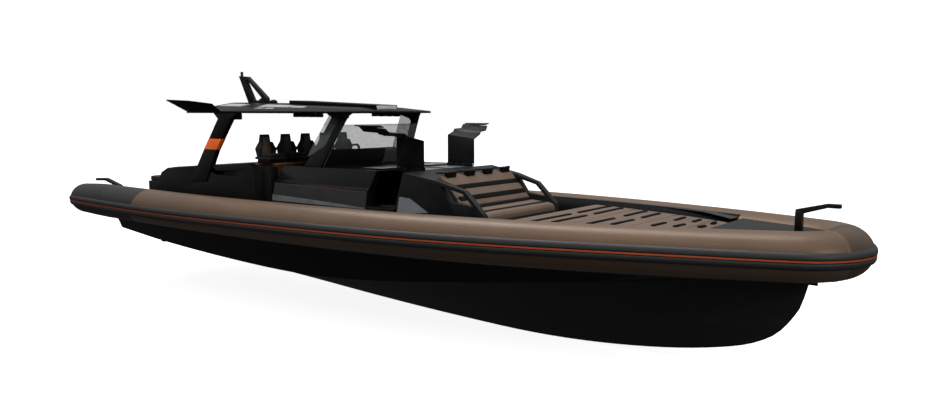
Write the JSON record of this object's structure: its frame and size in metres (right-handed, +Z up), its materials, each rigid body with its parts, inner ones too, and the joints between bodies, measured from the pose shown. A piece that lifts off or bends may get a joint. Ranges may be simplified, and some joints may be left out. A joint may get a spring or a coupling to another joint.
{
  "type": "inflatable rib boat",
  "caption": "Long rigid inflatable boat with deep V hull, hard roof on raked pillars, row of helm seats, open gull-wing cabin doors, bow lounge and sunpad.",
  "frame": {"origin": "on the centreline at the static waterline, 8.5 m forward of the stern tips of the collar", "axes": "+X to the bow, +Y to port, +Z up"},
  "size_m": [17.6562, 5.6688, 5.005],
  "materials": {
    "collar_fabric": "satin",
    "cone_fabric": "matte",
    "strake_rubber": "satin",
    "orange_trim": "satin",
    "hull_gloss": "gloss",
    "hull_bottom": "matte",
    "deck_grey": "matte",
    "upholstery": "satin",
    "black_shell": "satin",
    "glass": "gloss",
    "steel": "satin",
    "bronze": "satin",
    "engine_iron": "matte"
  },
  "bodies": {
    "hull": {"aft_base": "deck_grey", "aft_cushions": "upholstery", "aft_pillars": "black_shell", "bow_deck": "deck_grey", "bow_eye": "steel", "bow_post": "steel", "bow_sunpad": "upholstery", "coachroof": "black_shell", "coamings": "black_shell", "collar": "collar_fabric", "console": "black_shell", "dash": "black_shell", "door_hinges": "steel", "drive_flanges": "steel", "engines": "engine_iron", "entry_steps": "deck_grey", "glazing": "glass", "helm_bulkhead": "black_shell", "hull_bottom": "hull_bottom", "hull_core": "hull_gloss", "hull_floors": "hull_gloss", "hull_sides": "hull_gloss", "lounge_cushions": "upholstery", "lounge_headrests": "black_shell", "mast_fin": "black_shell", "nose_cap": "collar_fabric", "pillar_bands": "orange_trim", "roof": "black_shell", "roof_hatch": "black_shell", "roof_winglets": "black_shell", "rub_line": "orange_trim", "rub_strake": "strake_rubber", "seat_pads": "upholstery", "seat_plinth": "deck_grey", "seat_shells": "black_shell", "side_decks": "deck_grey", "stern_arms": "steel", "stern_cones": "cone_fabric", "stern_deck": "deck_grey", "windscreen_pillars": "black_shell"},
    "drive_port": {"drive_port": "steel"},
    "drive_starboard": {"drive_starboard": "steel"},
    "propeller_port": {"propeller_port": "bronze"},
    "propeller_starboard": {"propeller_starboard": "bronze"},
    "gullwing_port": {"gullwing_port": "black_shell"},
    "gullwing_starboard": {"gullwing_starboard": "black_shell"},
    "helm_wheel": {"steering_wheel": "steel"}
  },
  "joints": [
    {"name": "gullwing_port_hinge", "type": "hinge", "parent": "hull", "child": "gullwing_port", "pos_m": [0.45, 0.79, 2], "axis": [1, 0, 0], "range_deg": [-90, 0]},
    {"name": "gullwing_starboard_hinge", "type": "hinge", "parent": "hull", "child": "gullwing_starboard", "pos_m": [0.45, -0.79, 2], "axis": [-1, 0, 0], "range_deg": [-90, 0]},
    {"name": "drive_port_steer", "type": "hinge", "parent": "hull", "child": "drive_port", "pos_m": [-7.9, 0.42, 0.07], "axis": [0, 0, 1], "range_deg": [-20, 20]},
    {"name": "drive_starboard_steer", "type": "hinge", "parent": "hull", "child": "drive_starboard", "pos_m": [-7.9, -0.42, 0.07], "axis": [0, 0, 1], "range_deg": [-20, 20]},
    {"name": "propeller_port_spin", "type": "hinge", "parent": "drive_port", "child": "propeller_port", "pos_m": [-8.76, 0.42, 0.07], "axis": [1, 0, 0], "continuous": true},
    {"name": "propeller_starboard_spin", "type": "hinge", "parent": "drive_starboard", "child": "propeller_starboard", "pos_m": [-8.76, -0.42, 0.07], "axis": [1, 0, 0], "continuous": true},
    {"name": "helm_wheel_turn", "type": "hinge", "parent": "hull", "child": "helm_wheel", "pos_m": [-1.93, 0, 2.12], "axis": [-0.9063, 0, 0.4226], "range_deg": [-540, 540]}
  ],
  "couplings": [
    {"joint": "drive_starboard_steer", "follows": "drive_port_steer", "ratio": 1}
  ]
}
